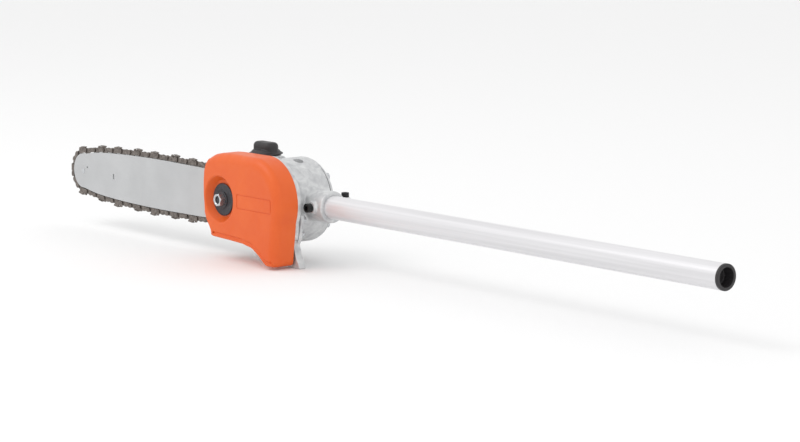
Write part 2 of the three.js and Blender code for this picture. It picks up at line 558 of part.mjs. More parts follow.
// ---------------------------------------------------------------- saw chain
{
  const drive = [], left = [], right = [], leftTops = [], rightTops = [];
  const driveShape = [[-2.6, 2.4], [12.1, 2.4], [12.1, -2.4], [5.6, -7.5], [4.2, -7.5], [-2.6, -2.4]];
  const strapShape = [[-3, 2.6], [12.5, 2.6], [12.5, -2.7], [-3, -2.7]];
  const cutterShape = [[-3, 4.6], [5.2, 5.4], [6, 1.6], [9.4, 4.8], [12.3, 4.4], [12.5, -2.7], [-3, -2.7]];
  const topShape = [[-2.9, 3.9], [-2.9, 4.8], [5, 5.6], [4.7, 4.7]];
  rivets.forEach((a, i) => {
    const before = rivets[(i + rivets.length - 1) % rivets.length];
    const length = Math.hypot(a[0] - before[0], a[1] - before[1]);
    const u = [(a[0] - before[0]) / length, (a[1] - before[1]) / length], v = [u[1], -u[0]];
    const place = (points) => points.map(([s, h]) => [before[0] + u[0] * s + v[0] * h, before[1] + u[1] * s + v[1] * h]);
    if (i % 2 === 0) { drive.push(place(driveShape)); return; }
    const kind = ((i - 1) / 2) % 4;
    left.push(place(kind === 0 ? cutterShape : strapShape));
    right.push(place(kind === 2 ? cutterShape : strapShape));
    if (kind === 0) leftTops.push(place(topShape));
    if (kind === 2) rightTops.push(place(topShape));
  });
  const all = (polygons) => CrossSection.ofPolygons(polygons, 'NonZero');
  const g = chainGauge / 2;
  piece('saw_chain', Manifold.union([
    slabY(all(drive), -g, g),
    slabY(all(left), -g - chainStrap, -g + 0.05), slabY(all(right), g - 0.05, g + chainStrap),
    slabY(all(leftTops), -g - chainStrap - 1.4, 0.2), slabY(all(rightTops), -0.2, g + chainStrap + 1.4),
  ]), chainSteel);
}

// ---------------------------------------------------------------- chain tensioner
piece('tension_block', boxAt(-48.4, -39.6, padFace + 0.2, 10.8, 10.7, 20.1)
  .add(rodY(-44, 15.4, 2.45, -1.7, 4, 12)).subtract(rodX(7.4, 15.4, 2.65, -60, -30, 12)), zincSteel);
piece('tension_screw', rodX(7.4, 15.4, 2.5, -77, -33, 12).add(rodX(7.4, 15.4, 3.6, -61.6, -60.2, 12))
  .add(rodX(7.4, 15.4, 3.7, -79.6, -76.2, 12)).subtract(boxAt(-81, -78.2, 0, 12, 14.9, 15.9)), zincSteel);

// ---------------------------------------------------------------- sprocket cover
{
  const bossFloor = -16, bossInner = bossFloor + coverWall;
  const inside = coverOutline.offset(-coverWall, 'Round', 2, 12).simplify(0.1).intersect(box2(-90, 60, -50, 60));
  const cover = roundedSlabY(coverOutline, coverFace, coverBase, coverEdge)
    .subtract(slabY(inside, coverFace + coverWall, coverBase + 1))
    .add(turnY([[0, bossInner], [22.6, bossInner], [pocketRadius + 2.2, coverFace + 2], [0, coverFace + 2]], -50, 1, 28))
    .subtract(turnY([[0, bossFloor], [20.8, bossFloor], [21.6, bossFloor - 0.4], [pocketRadius - 1, coverFace + 1.4],
      [pocketRadius + 0.6, coverFace - 0.1], [0, coverFace - 0.1]], -50, 1, 28))
    .add(rodY(studX, 0, 9, bossFloor + 1, -padFace - 0.1, 18))
    .subtract(rodY(studX, 0, studRadius + 0.3, -30, 5, 12))
    .subtract(boxAt(-95, -66, -6.5, 5, -40, 43));
  piece('sprocket_cover', cover, orangePlastic);
}

// ---------------------------------------------------------------- bar stud and nut
piece('bar_stud', rodY(studX, 0, studRadius, -24.2, 11.8, 12).add(rodY(studX, 0, 6, 2.6, 5, 12)), darkSteel);
piece('bar_washer', turnY([[studRadius + 0.2, -16.15], [washerRadius - 1, -16.15], [washerRadius, -16.8],
  [washerRadius, -17.6], [washerRadius - 0.5, -18], [studRadius + 0.2, -18]], studX, 0, 24), darkSteel);
piece('bar_nut', slabY(hexagon(nutAcrossFlats, 12).translate([studX, 0]), -26, -19)
  .intersect(turnY([[0, -26], [6.4, -26], [7.6, -25.2], [7.6, -18], [0, -18]], studX, 0, 20))
  .add(turnY([[0, -20.3], [8, -20.3], [9.2, -19.2], [9.2, -18.15], [0, -18.15]], studX, 0, 20))
  .subtract(rodY(studX, 0, studRadius + 0.25, -30, -10, 16)), zincSteel);

// ---------------------------------------------------------------- place the group
group.updateMatrixWorld(true);
const bounds = new THREE.Box3().setFromObject(group);
group.position.set(-(bounds.min.x + bounds.max.x) / 2, -(bounds.min.y + bounds.max.y) / 2, -bounds.min.z);
group.updateMatrixWorld(true);

export default group;
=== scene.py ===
"""Looks of the pole saw attachment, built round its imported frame.

Sizes are millimetres from the sprocket axis (x, z) and the bar's middle plane (y):
+X runs along the tube, -Y points at the sprocket cover, +Z up.
"""
import json
import math

import bmesh
import bpy
from mathutils import Matrix, Vector
from mathutils.geometry import convex_hull_2d


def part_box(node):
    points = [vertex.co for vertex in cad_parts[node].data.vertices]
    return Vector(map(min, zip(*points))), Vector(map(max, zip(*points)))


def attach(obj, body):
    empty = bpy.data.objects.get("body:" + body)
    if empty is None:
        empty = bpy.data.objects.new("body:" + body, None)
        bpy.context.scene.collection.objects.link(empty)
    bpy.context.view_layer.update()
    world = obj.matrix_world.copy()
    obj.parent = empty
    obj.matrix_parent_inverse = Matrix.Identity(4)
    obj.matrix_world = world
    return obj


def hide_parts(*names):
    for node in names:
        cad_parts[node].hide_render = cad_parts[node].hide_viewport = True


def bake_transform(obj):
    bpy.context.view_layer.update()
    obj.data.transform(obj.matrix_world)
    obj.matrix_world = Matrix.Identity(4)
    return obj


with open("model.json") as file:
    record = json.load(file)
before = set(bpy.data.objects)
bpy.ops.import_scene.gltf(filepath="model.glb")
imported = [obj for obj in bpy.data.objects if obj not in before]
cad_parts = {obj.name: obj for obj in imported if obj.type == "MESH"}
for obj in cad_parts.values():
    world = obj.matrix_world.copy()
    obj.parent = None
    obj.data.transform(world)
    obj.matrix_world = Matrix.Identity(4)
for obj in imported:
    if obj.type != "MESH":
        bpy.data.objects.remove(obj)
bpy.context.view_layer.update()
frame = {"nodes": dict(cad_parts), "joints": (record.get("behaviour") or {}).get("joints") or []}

# ------------------------------------------------------------------ the frame's sizes
MM = 0.001
JOINTS = {joint["name"]: joint for joint in frame["joints"]}
bar_low, bar_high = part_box("guide_bar")
ORIGIN = Vector((
    JOINTS["output_spin"]["pos_m"][0],
    (bar_low.y + bar_high.y) / 2,
    JOINTS["output_spin"]["pos_m"][2],
))


def span(node):
    """Lowest and highest corner of a CAD node, in this script's millimetres."""
    low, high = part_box(node)
    return (low - ORIGIN) / MM, (high - ORIGIN) / MM


def joint_place(name):
    return (Vector(JOINTS[name]["pos_m"]) - ORIGIN) / MM


SHAFT_Y = joint_place("input_spin").y
NOSE_X = joint_place("nose_spin").x
CAP_AXIS = joint_place("cap_turn")
NUT_AXIS = joint_place("nut_turn")
COVER_LOW, COVER_HIGH = span("sprocket_cover")
TUBE_LOW, TUBE_HIGH = span("tube")
TUBE_R = (TUBE_HIGH.z - TUBE_LOW.z) / 2
GASKET_LOW, GASKET_HIGH = span("lid_gasket")
PLUG_X = sum(corner.x for corner in span("grease_plug")) / 2
PLUG_TOP = span("grease_plug")[1].z
BAR_HALF = (bar_high.y - bar_low.y) / 2 / MM
CHAMBER_R = 27
DRUM_R = (GASKET_HIGH.x - GASKET_LOW.x) / 2 + 1.6


def middle_of(nodes):
    """The middles of CAD nodes, as (x, z)."""
    return [tuple(((span(node)[0] + span(node)[1]) / 2).xz) for node in nodes]


LID_SCREW_NODES = ["lid_screw_1", "lid_screw_2", "lid_screw_3", "lid_screw_4"]
TANK_SCREW_NODES = ["tank_screw_1", "tank_screw_2"]
HOOK_SCREW_NODES = ["hook_screw_1", "hook_screw_2"]
LID_SCREWS = middle_of(LID_SCREW_NODES)
TANK_SCREWS = middle_of(TANK_SCREW_NODES)
HOOK_SCREWS = middle_of(HOOK_SCREW_NODES)

# ------------------------------------------------------------------ camera, light, floor
CAMERA_AZIMUTH = 50.2
CAMERA_ELEVATION = 8.57
CAMERA_DISTANCE = 2.615
CAMERA_LENS = 112.2
AIM = Vector((187.5, SHAFT_Y, -1.8))


def to_row(point):
    return ORIGIN + Vector(point) * MM


def add_camera():
    data = bpy.data.cameras.new("camera")
    data.lens = CAMERA_LENS
    data.sensor_width = 36
    data.clip_end = 50
    camera = bpy.data.objects.new("camera", data)
    bpy.context.scene.collection.objects.link(camera)
    turn, lift = math.radians(CAMERA_AZIMUTH), math.radians(CAMERA_ELEVATION)
    outward = Vector((math.cos(lift) * math.sin(turn), -math.cos(lift) * math.cos(turn), math.sin(lift)))
    camera.location = to_row(AIM) + outward * CAMERA_DISTANCE
    camera.rotation_euler = (-outward).to_track_quat("-Z", "Y").to_euler()
    bpy.context.scene.camera = camera


def add_area_light(name, place, size, power, aim=(0, 0, 0.05)):
    data = bpy.data.lights.new(name, "AREA")
    data.shape = "RECTANGLE"
    data.size, data.size_y = size
    data.energy = power
    light = bpy.data.objects.new(name, data)
    bpy.context.scene.collection.objects.link(light)
    light.location = place
    light.rotation_euler = (Vector(aim) - Vector(place)).to_track_quat("-Z", "Y").to_euler()


# ------------------------------------------------------------------ materials
def hex_colour(value):
    """sRGB hex to linear red, green, blue, alpha."""
    channels = [int(value[i:i + 2], 16) / 255 for i in (0, 2, 4)]
    linear = [c / 12.92 if c <= 0.04045 else ((c + 0.055) / 1.055) ** 2.4 for c in channels]
    return (*linear, 1.0)


def add_node(tree, kind, settings=None, **links):
    """Adds a node. settings sets its properties and socket values; links joins its inputs."""
    node = tree.nodes.new(kind)
    for key, value in (settings or {}).items():
        if isinstance(key, int) or key in node.inputs:
            node.inputs[key].default_value = value
        else:
            setattr(node, key, value)
    for key, output in links.items():
        index = int(key[1:]) if key[1:].isdigit() else key.replace("_", " ")
        tree.links.new(output, node.inputs[index])
    return node


def ramp(tree, factor, stops):
    node = add_node(tree, "ShaderNodeValToRGB", i0=factor)
    elements = node.color_ramp.elements
    while len(elements) < len(stops):
        elements.new(0.5)
    for element, (place, colour) in zip(elements, stops):
        element.position = place
        element.color = colour if not isinstance(colour, str) else hex_colour(colour)
    return node.outputs["Color"]


def grey(value):
    return (value, value, value, 1.0)


def surface(name, base, metallic, roughness, build=None):
    """A named finish. build(tree, shader, place) adds its grain to the shader."""
    material = bpy.data.materials.new(name)
    material.use_nodes = True
    tree = material.node_tree
    shader = tree.nodes["Principled BSDF"]
    shader.inputs["Base Color"].default_value = hex_colour(base)
    shader.inputs["Metallic"].default_value = metallic
    shader.inputs["Roughness"].default_value = roughness
    if build:
        place = add_node(tree, "ShaderNodeTexCoord").outputs["Object"]
        build(tree, shader, place)
    return material


def mottled(tree, place, scale_mm, low, high, detail=4.0, distortion=0.0):
    """Noise whose blotches are about scale_mm across, spread over low to high."""
    settings = {"Scale": 1 / (scale_mm * MM), "Detail": detail, "Distortion": distortion}
    noise = add_node(tree, "ShaderNodeTexNoise", settings, Vector=place)
    return ramp(tree, noise.outputs["Fac"], [(0.3, low), (0.7, high)])


def bumped(tree, shader, height, depth_mm):
    bump = add_node(tree, "ShaderNodeBump", {"Strength": 1.0, "Distance": depth_mm * MM}, Height=height)
    tree.links.new(bump.outputs["Normal"], shader.inputs["Normal"])


def stretched(tree, place, sx, sy, sz):
    """Object coordinates scaled so that a grain runs long along one axis."""
    return add_node(tree, "ShaderNodeMapping", {"Scale": (sx, sy, sz)}, Vector=place).outputs["Vector"]


def cast_grain(tree, shader, place):
    # Die cast and tumbled: cloudy grey flow marks, fine pits and a frosty, uneven sheen.
    tone = mottled(tree, place, 9, "b9babc", "dcdddd", 6, 0.6)
    tree.links.new(tone, shader.inputs["Base Color"])
    tree.links.new(mottled(tree, place, 4, grey(0.42), grey(0.6)), shader.inputs["Roughness"])
    bumped(tree, shader, mottled(tree, place, 1.4, grey(0.2), grey(0.8), 6), 0.12)


def moulded_grain(low, high, gloss_low, gloss_high, depth):
    def build(tree, shader, place):
        tree.links.new(mottled(tree, place, 30, low, high, 3), shader.inputs["Base Color"])
        gloss = mottled(tree, place, 6, grey(gloss_low), grey(gloss_high), 4)
        tree.links.new(gloss, shader.inputs["Roughness"])
        bumped(tree, shader, mottled(tree, place, 0.9, grey(0.3), grey(0.7), 3), depth)
    return build


def ground_grain(low, high, rough_low, rough_high):
    def build(tree, shader, place):
        # Belt ground along the bar: long fine lines, drawn 0.5 mm apart so that they show.
        long = stretched(tree, place, 0.03, 1, 1)
        tree.links.new(mottled(tree, place, 40, low, high, 3), shader.inputs["Base Color"])
        lines = mottled(tree, long, 0.5, grey(rough_low), grey(rough_high), 2)
        tree.links.new(lines, shader.inputs["Roughness"])
        bumped(tree, shader, mottled(tree, long, 0.5, grey(0.3), grey(0.7), 2), 0.02)
    return build


def worn_grain(low, high, rough_low, rough_high, scale, depth=0.03):
    def build(tree, shader, place):
        tree.links.new(mottled(tree, place, scale, low, high, 5, 0.4), shader.inputs["Base Color"])
        tree.links.new(mottled(tree, place, scale * 0.5, grey(rough_low), grey(rough_high)),
                       shader.inputs["Roughness"])
        bumped(tree, shader, mottled(tree, place, scale * 0.3, grey(0.3), grey(0.7)), depth)
    return build


def tube_grain(tree, shader, place):
    # Drawn, then clear lacquered: faint draw lines run along the tube under a soft shine.
    long = stretched(tree, place, 0.01, 1, 1)
    tree.links.new(mottled(tree, long, 3, "d6d5d7", "e2e1e3", 3), shader.inputs["Base Color"])
    tree.links.new(mottled(tree, long, 1.2, grey(0.3), grey(0.4), 2), shader.inputs["Roughness"])
    bumped(tree, shader, mottled(tree, long, 0.8, grey(0.4), grey(0.6), 2), 0.01)


def make_materials():
    finishes = {
        "cast_aluminium": surface("Raw_Cast_Aluminium", "cbcccd", 0.55, 0.5, cast_grain),
        "tube_aluminium": surface("Lacquered_Drawn_Aluminium", "dddcde", 0.25, 0.35, tube_grain),
        "orange_plastic": surface("Moulded_Orange_Nylon", "e2601a", 0.0, 0.45,
                                  moulded_grain("df5b15", "e4631c", 0.4, 0.5, 0.02)),
        "black_plastic": surface("Moulded_Black_Nylon", "2b292b", 0.0, 0.5,
                                 moulded_grain("232123", "302d2f", 0.42, 0.56, 0.03)),
        "bar_steel": surface("Belt_Ground_Bar_Steel", "bebfc0", 0.45, 0.4,
                             ground_grain("babbbc", "c3c4c5", 0.34, 0.46)),
        "chain_steel": surface("Browned_Chain_Steel", "6f6864", 0.75, 0.42,
                               worn_grain("5a534f", "8a827c", 0.34, 0.52, 2.5)),
        "dark_steel": surface("Phosphated_Steel", "45464a", 0.5, 0.5,
                              worn_grain("3c3d41", "4c4d51", 0.42, 0.56, 3)),
        "zinc_steel": surface("Bright_Zinc_Plate", "c4c6c8", 0.9, 0.3,
                              worn_grain("b8bbbe", "d0d2d4", 0.24, 0.36, 4, 0.01)),
        "gear_steel": surface("Hobbed_Gear_Steel", "8b8d90", 0.9, 0.35,
                              worn_grain("7f8184", "989a9d", 0.28, 0.42, 3)),
        "black_screw": surface("Black_Oxide_Steel", "0e0e0f", 0.2, 0.5,
                               worn_grain("0a0a0b", "141415", 0.42, 0.58, 2)),
        "rubber": surface("Nitrile_Rubber", "1e1e1e", 0.0, 0.75,
                          worn_grain("191919", "262626", 0.68, 0.82, 2)),
        "clear_hose": surface("Amber_Fuel_Hose", "c9a25c", 0.0, 0.35,
                              worn_grain("bf9750", "d2ae6c", 0.3, 0.42, 5)),
    }
    return finishes


# ------------------------------------------------------------------ outlines
def fillet(corners, steps=6):
    """Closed outline from corners (a, b, radius), each turned into an arc."""
    points = []
    count = len(corners)
    for i, (x, y, radius) in enumerate(corners):
        here = Vector((x, y))
        before = (Vector(corners[i - 1][:2]) - here).normalized()
        after = (Vector(corners[(i + 1) % count][:2]) - here).normalized()
        half = before.angle(after) / 2
        if radius <= 0 or abs(half - math.pi / 2) < 1e-4:
            points.append((x, y))
            continue
        centre = here + (before + after).normalized() * (radius / math.sin(half))
        start = here + before * (radius / math.tan(half)) - centre
        sweep = math.pi - 2 * half
        if start.x * (here - centre).y - start.y * (here - centre).x < 0:
            sweep = -sweep
        for k in range(steps + 1):
            a = sweep * k / steps
            points.append((centre.x + start.x * math.cos(a) - start.y * math.sin(a),
                           centre.y + start.x * math.sin(a) + start.y * math.cos(a)))
    return points


def oblong(left, right, low, high, rounding, steps=6):
    corners = [(left, low), (right, low), (right, high), (left, high)]
    return fillet([(x, y, rounding) for x, y in corners], steps)


def circle(x, y, radius, sides=48):
    angles = [2 * math.pi * i / sides for i in range(sides)]
    return [(x + radius * math.cos(angle), y + radius * math.sin(angle)) for angle in angles]


def hexagon(x, y, across, turn=0.0):
    return [(x + across / math.sqrt(3) * math.cos(math.radians(60 * i + turn)),
             y + across / math.sqrt(3) * math.sin(math.radians(60 * i + turn))) for i in range(6)]


def section(node, y):
    """The longest outline of a CAD node where the plane at y cuts it, as (x, z) points."""
    mesh = bmesh.new()
    mesh.from_mesh(frame["nodes"][node].data)
    bmesh.ops.remove_doubles(mesh, verts=mesh.verts, dist=1e-6)
    geometry = mesh.verts[:] + mesh.edges[:] + mesh.faces[:]
    place = to_row((0, y, 0))
    cut = bmesh.ops.bisect_plane(mesh, geom=geometry, plane_co=place, plane_no=(0, 1, 0))["geom_cut"]
    mesh.edges.index_update()
    edges = {e for e in cut if isinstance(e, bmesh.types.BMEdge)}
    loops = []
    while edges:
        edge = min(edges, key=lambda e: e.index)
        edges.remove(edge)
        start, here = edge.verts
        loop = [start, here]
        while True:
            onward = next((e for e in here.link_edges if e in edges), None)
            if onward is None:
                break
            edges.remove(onward)
            here = onward.other_vert(here)
            if here is start:
                break
            loop.append(here)
        loops.append([((v.co.x - ORIGIN.x) / MM, (v.co.z - ORIGIN.z) / MM) for v in loop])
    mesh.free()
    return max(loops, key=outline_length)


def outline_length(points):
    return sum(math.dist(points[i - 1], p) for i, p in enumerate(points))


def signed_area(points):
    return sum(points[i - 1][0] * p[1] - p[0] * points[i - 1][1] for i, p in enumerate(points)) / 2


def evenly(points, spacing):
    """A closed outline resampled at an even spacing, anticlockwise."""
    if signed_area(points) < 0:
        points = points[::-1]
    total = outline_length(points)
    count = max(12, round(total / spacing))
    result, travelled, i = [], 0.0, 0
    here, ahead = Vector(points[0]), Vector(points[1])
    for k in range(count):
        goal = total * k / count
        while travelled + (ahead - here).length < goal - 1e-9:
            travelled += (ahead - here).length
            i += 1
            here, ahead = Vector(points[i % len(points)]), Vector(points[(i + 1) % len(points)])
        step = (ahead - here).length
        point = here.lerp(ahead, (goal - travelled) / step if step > 1e-9 else 0)
        result.append((point.x, point.y))
    return result


def smoothed(points, spacing=1.0, passes=6):
    """Rounds the flats of a faceted outline without moving it by more than a fraction of one."""
    points = evenly(points, spacing)
    for _ in range(passes):
        count = len(points)
        points = [((points[i - 1][0] + 2 * p[0] + points[(i + 1) % count][0]) / 4,
                   (points[i - 1][1] + 2 * p[1] + points[(i + 1) % count][1]) / 4)
                  for i, p in enumerate(points)]
    return points


def outward_normals(points):
    """Unit outward normals of an anticlockwise outline."""
    normals = []
    count = len(points)
    for i in range(count):
        along = Vector(points[(i + 1) % count]) - Vector(points[i - 1])
        along.normalize()
        normals.append(Vector((along.y, -along.x)))
    return normals


def grown(points, distance):
    normals = outward_normals(points)
    return [(p[0] + n.x * distance, p[1] + n.y * distance) for p, n in zip(points, normals)]


# ------------------------------------------------------------------ solids
AXES = {"X": (1, 2, 0), "Y": (2, 0, 1), "Z": (0, 1, 2)}


def new_object(name, points, faces):
    data = bpy.data.meshes.new(name)
    data.from_pydata([to_row(p) for p in points], [], faces)
    mesh = bmesh.new()
    mesh.from_mesh(data)
    bmesh.ops.remove_doubles(mesh, verts=mesh.verts, dist=1e-7)
    bmesh.ops.recalc_face_normals(mesh, faces=mesh.faces)
    mesh.to_mesh(data)
    mesh.free()
    obj = bpy.data.objects.new(name, data)
    bpy.context.scene.collection.objects.link(obj)
    return obj


def skin(name, rings, closed=False):
    """A solid over rings of equal count; closed joins the last ring to the first."""
    count = len(rings[0])
    points = [p for ring in rings for p in ring]
    faces = []
    for r in range(len(rings) if closed else len(rings) - 1):
        a, b = r * count, ((r + 1) % len(rings)) * count
        faces += [(a + i, a + (i + 1) % count, b + (i + 1) % count, b + i) for i in range(count)]
    if not closed:
        last = (len(rings) - 1) * count
        faces.append(tuple(range(count))[::-1])
        faces.append(tuple(range(last, last + count)))
    return new_object(name, points, faces)


def turned(name, profile, axis, centre, sides=64):
    """A lathe shape: profile lists (radius, place along the axis). It starts and ends on the
    axis, or else closes on itself as a ring."""
    a, b, along = AXES[axis]
    on_axis = profile[0][0] == 0 and profile[-1][0] == 0
    points, rings = [], []
    for radius, place in profile:
        ring = []
        for i in range(1 if radius == 0 else sides):
            angle = 2 * math.pi * i / sides
            point = [0, 0, 0]
            point[a] = centre[a] + radius * math.cos(angle)
            point[b] = centre[b] + radius * math.sin(angle)
            point[along] = place
            ring.append(len(points))
            points.append(point)
        rings.append(ring)
    faces = []
    pairs = list(zip(rings, rings[1:])) + ([] if on_axis else [(rings[-1], rings[0])])
    for low, high in pairs:
        for i in range(sides):
            j = (i + 1) % sides
            if len(low) == 1 and len(high) == 1:
                break
            if len(low) == 1:
                faces.append((low[0], high[j], high[i]))
            elif len(high) == 1:
                faces.append((low[i], low[j], high[0]))
            else:
                faces.append((low[i], low[j], high[j], high[i]))
    return new_object(name, points, faces)


def rounded_profile(corners, steps=4):
    """A lathe profile whose corners (radius, place, rounding) are arcs; it may touch the axis."""
    points = []
    for i, corner in enumerate(corners):
        r, a = corner[0], corner[1]
        size = corner[2] if len(corner) > 2 else 0
        if size == 0 or i in (0, len(corners) - 1) and corners[0][0] == 0:
            points.append((r, a))
            continue
        here = Vector((r, a))
        before = (Vector(corners[i - 1][:2]) - here).normalized()
        after = (Vector(corners[(i + 1) % len(corners)][:2]) - here).normalized()
        half = before.angle(after) / 2
        if abs(half - math.pi / 2) < 1e-3:
            points.append((r, a))
            continue
        centre = here + (before + after).normalized() * (size / math.sin(half))
        start, end = here + before * size / math.tan(half), here + after * size / math.tan(half)
        for k in range(steps + 1):
            if k in (0, steps):
                mixed = (end if k else start) - centre
            else:
                mixed = (start - centre).slerp(end - centre, k / steps)
            point = centre + mixed.normalized() * size
            points.append((point.x, point.y))
    return points


def rim_room(outline, most, reach=6):
    """How far in a rim may come at each point: less than most where the outline turns tightly."""
    normals = outward_normals(outline)
    count = len(outline)
    room = []
    for i in range(count):
        before, after = normals[i - reach], normals[(i + reach) % count]
        turn = math.atan2(before.cross(after), before.dot(after))
        chord = math.dist(outline[i - reach], outline[(i + reach) % count])
        tight = chord / (2 * math.sin(turn / 2)) if turn > 0.05 else math.inf
        limit = most(normals[i]) if callable(most) else most
        room.append(min(limit, 0.75 * tight))
    soft = room
    for _ in range(60):
        soft = [(soft[i - 1] + 2 * soft[i] + soft[(i + 1) % count]) / 4 for i in range(count)]
    return [min(a, b) for a, b in zip(room, soft)]


def slab(name, outline, start, end, start_rim=0, end_rim=0, axis="Y", steps=6):
    """A slab through outline from start to end along an axis. A rim is a radius, or how far in
    it comes (one number, or one for each point) and how far along."""
    if signed_area(outline) < 0:
        outline = outline[::-1]
    normals = outward_normals(outline)
    stations = []
    for place, rim, direction in ((start, start_rim, 1), (end, end_rim, -1)):
        inset, depth = rim if isinstance(rim, tuple) else (rim, rim)
        arc = [math.pi / 2 * k / steps for k in range(steps + 1)] if depth else [math.pi / 2]
        part = [(place + direction * depth * (1 - math.cos(t)), inset, 1 - math.sin(t)) for t in arc]
        stations += part[::direction]
    rings = []
    for place, inset, share in stations:
        ring = []
        for i, ((u, v), n) in enumerate(zip(outline, normals)):
            back = share * (inset[i] if isinstance(inset, list) else inset)
            u, v = u - n.x * back, v - n.y * back
            ring.append({"Y": (u, place, v), "Z": (u, v, place), "X": (place, u, v)}[axis])
        rings.append(ring)
    return skin(name, rings)


def bake_modifiers(obj):
    graph = bpy.context.evaluated_depsgraph_get()
    data = bpy.data.meshes.new_from_object(obj.evaluated_get(graph), depsgraph=graph)
    obj.modifiers.clear()
    obj.data = data
    return obj


def combine(base, operation, *others):
    for part in (base, *others):
        part.modifiers.new("split_caps", "TRIANGULATE").min_vertices = 5
    for other in others:
        modifier = base.modifiers.new("combine", "BOOLEAN")
        modifier.operation = operation
        modifier.object = other
        modifier.solver = "MANIFOLD"
    bake_modifiers(base)
    for other in others:
        bpy.data.objects.remove(other)
    return base


def cut(base, *others):
    return combine(base, "DIFFERENCE", *others)


def together(name, *parts):
    """Joins the meshes of several parts into one object, without merging them."""
    mesh = bmesh.new()
    for part in parts:
        mesh.from_mesh(part.data)
        bpy.data.objects.remove(part)
    data = bpy.data.meshes.new(name)
    mesh.to_mesh(data)
    mesh.free()
    obj = bpy.data.objects.new(name, data)
    bpy.context.scene.collection.objects.link(obj)
    return obj


def cast_together(name, voxel, passes, *parts):
    """One casting from overlapping parts, with the small fillets that a mould leaves."""
    obj = together(name, *parts)
    remesh = obj.modifiers.new("remesh", "REMESH")
    remesh.mode = "VOXEL"
    remesh.voxel_size = voxel * MM
    soften = obj.modifiers.new("soften", "SMOOTH")
    soften.factor = 0.5
    soften.iterations = passes
    return bake_modifiers(obj)


def complete(obj, finish, body, *replaced, sharp=32):
    """Shades a finished piece, gives it its finish and puts it on its body."""
    obj.data.materials.clear()
    obj.data.materials.append(MATERIALS[finish])
    obj.data.polygons.foreach_set("material_index", [0] * len(obj.data.polygons))
    obj.data.shade_smooth()
    obj.data.set_sharp_from_angle(angle=math.radians(sharp))
    weighted = obj.modifiers.new("weighted", "WEIGHTED_NORMAL")
    weighted.keep_sharp = True
    bake_modifiers(obj)
    if replaced:
        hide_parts(*replaced)
    if body:
        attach(obj, body)
    return obj


# ------------------------------------------------------------------ geometry node trees
def node_tree(name, inputs):
    """An empty geometry tree with named inputs: (name, socket type) pairs."""
    tree = bpy.data.node_groups.new(name, "GeometryNodeTree")
    for label, kind in inputs:
        tree.interface.new_socket(label, in_out="INPUT", socket_type=kind)
    tree.interface.new_socket("Geometry", in_out="OUTPUT", socket_type="NodeSocketGeometry")
    return tree, add_node(tree, "NodeGroupInput").outputs


def close_tree(tree, geometry, finish):
    realized = add_node(tree, "GeometryNodeRealizeInstances", Geometry=geometry).outputs["Geometry"]
    painted = add_node(tree, "GeometryNodeSetMaterial", Geometry=realized, Material=finish)
    add_node(tree, "NodeGroupOutput", Geometry=painted.outputs["Geometry"])
    return tree


def placing_tree():
    """Sets one part down on every point of one kind, turned as the point's facing says."""
    tree, given = node_tree("Parts_On_Stations", [
        ("Geometry", "NodeSocketGeometry"), ("Part", "NodeSocketObject"),
        ("Kind", "NodeSocketInt"), ("Finish", "NodeSocketMaterial"),
    ])
    part = add_node(tree, "GeometryNodeObjectInfo", Object=given["Part"]).outputs["Geometry"]
    kind = add_node(tree, "GeometryNodeInputNamedAttribute", {"data_type": "INT", "Name": "kind"})
    same = add_node(tree, "FunctionNodeCompare", {"data_type": "INT", "operation": "EQUAL"},
                    i2=kind.outputs["Attribute"], i3=given["Kind"]).outputs["Result"]
    facing = add_node(tree, "GeometryNodeInputNamedAttribute",
                      {"data_type": "FLOAT_VECTOR", "Name": "facing"})
    turn = add_node(tree, "FunctionNodeEulerToRotation",
                    Euler=facing.outputs["Attribute"]).outputs["Rotation"]
    points = add_node(tree, "GeometryNodeMeshToPoints", Mesh=given["Geometry"]).outputs["Points"]
    placed = add_node(tree, "GeometryNodeInstanceOnPoints", Points=points, Selection=same,
                      Instance=part, Rotation=turn).outputs["Instances"]
    return close_tree(tree, placed, given["Finish"])


def bead_tree():
    """A round bead along a wire."""
    tree, given = node_tree("Bead_Along_Wire", [
        ("Geometry", "NodeSocketGeometry"), ("Radius", "NodeSocketFloat"),
        ("Sides", "NodeSocketInt"), ("Finish", "NodeSocketMaterial"),
    ])
    wire = add_node(tree, "GeometryNodeMeshToCurve", Mesh=given["Geometry"]).outputs["Curve"]
    ring = add_node(tree, "GeometryNodeCurvePrimitiveCircle", Resolution=given["Sides"],
                    Radius=given["Radius"]).outputs["Curve"]
    bead = add_node(tree, "GeometryNodeCurveToMesh", {"Fill Caps": True}, Curve=wire,
                    Profile_Curve=ring).outputs["Mesh"]
    return close_tree(tree, bead, given["Finish"])


def run_tree(obj, tree, values):
    modifier = obj.modifiers.new(tree.name, "NODES")
    modifier.node_group = tree
    for item in tree.interface.items_tree:
        if item.in_out == "INPUT" and item.name in values:
            modifier[item.identifier] = values[item.name]
    return bake_modifiers(obj)


def wire_object(name, points):
    data = bpy.data.meshes.new(name)
    data.from_pydata([to_row(p) for p in points], [(i, i + 1) for i in range(len(points) - 1)], [])
    obj = bpy.data.objects.new(name, data)
    bpy.context.scene.collection.objects.link(obj)
    return obj


